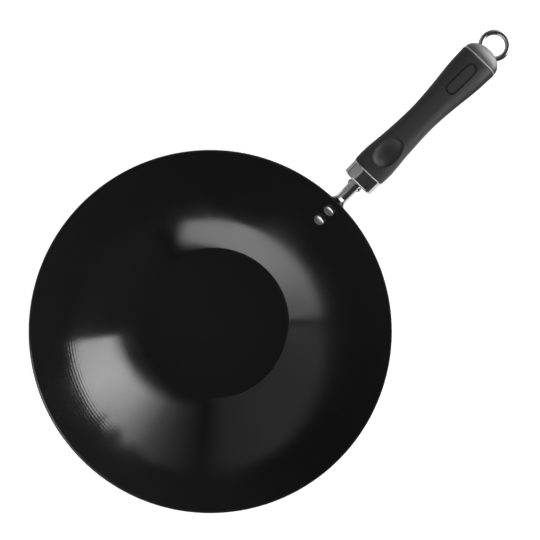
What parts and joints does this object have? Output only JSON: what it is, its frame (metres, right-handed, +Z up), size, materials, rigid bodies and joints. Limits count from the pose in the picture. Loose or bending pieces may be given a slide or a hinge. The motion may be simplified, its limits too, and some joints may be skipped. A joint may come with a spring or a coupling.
{
  "type": "wok",
  "caption": "Flat-bottomed wok: round coated steel bowl with a riveted channel bracket, a long moulded handle and a hanging ring that swings.",
  "frame": {"origin": "centre of the flat base's underside, on the surface that the wok stands on", "axes": "+Z up out of the bowl, +X from the bowl's centre along the handle, +Y across"},
  "size_m": [0.5687, 0.356, 0.1486],
  "materials": {
    "bowl_coating": "black semi-gloss non-stick coating on pressed carbon steel",
    "chromed_steel": "bright chrome plate",
    "rivet_metal": "bright domed heads",
    "grip_phenolic": "charcoal moulded phenolic, fine satin grain",
    "plated_steel": "zinc plated",
    "cap_satin": "satin silver",
    "ring_steel": "polished round wire"
  },
  "bodies": {
    "wok": {"wok_bowl": "bowl_coating", "handle_bracket": "chromed_steel", "rivet_upper": "rivet_metal", "rivet_lower": "rivet_metal", "ferrule": "chromed_steel", "grip": "grip_phenolic", "tang_nut": "plated_steel", "tie_bolt": "plated_steel", "flat_washer": "plated_steel", "spring_washer": "plated_steel", "end_cap": "cap_satin"},
    "ring": {"hang_ring": "ring_steel"}
  },
  "joints": [
    {"name": "ring_swing", "type": "hinge", "parent": "wok", "child": "ring", "pos_m": [0.36485, 0, 0.13728], "axis": [0, -1, 0], "range_deg": [0, 30]}
  ]
}
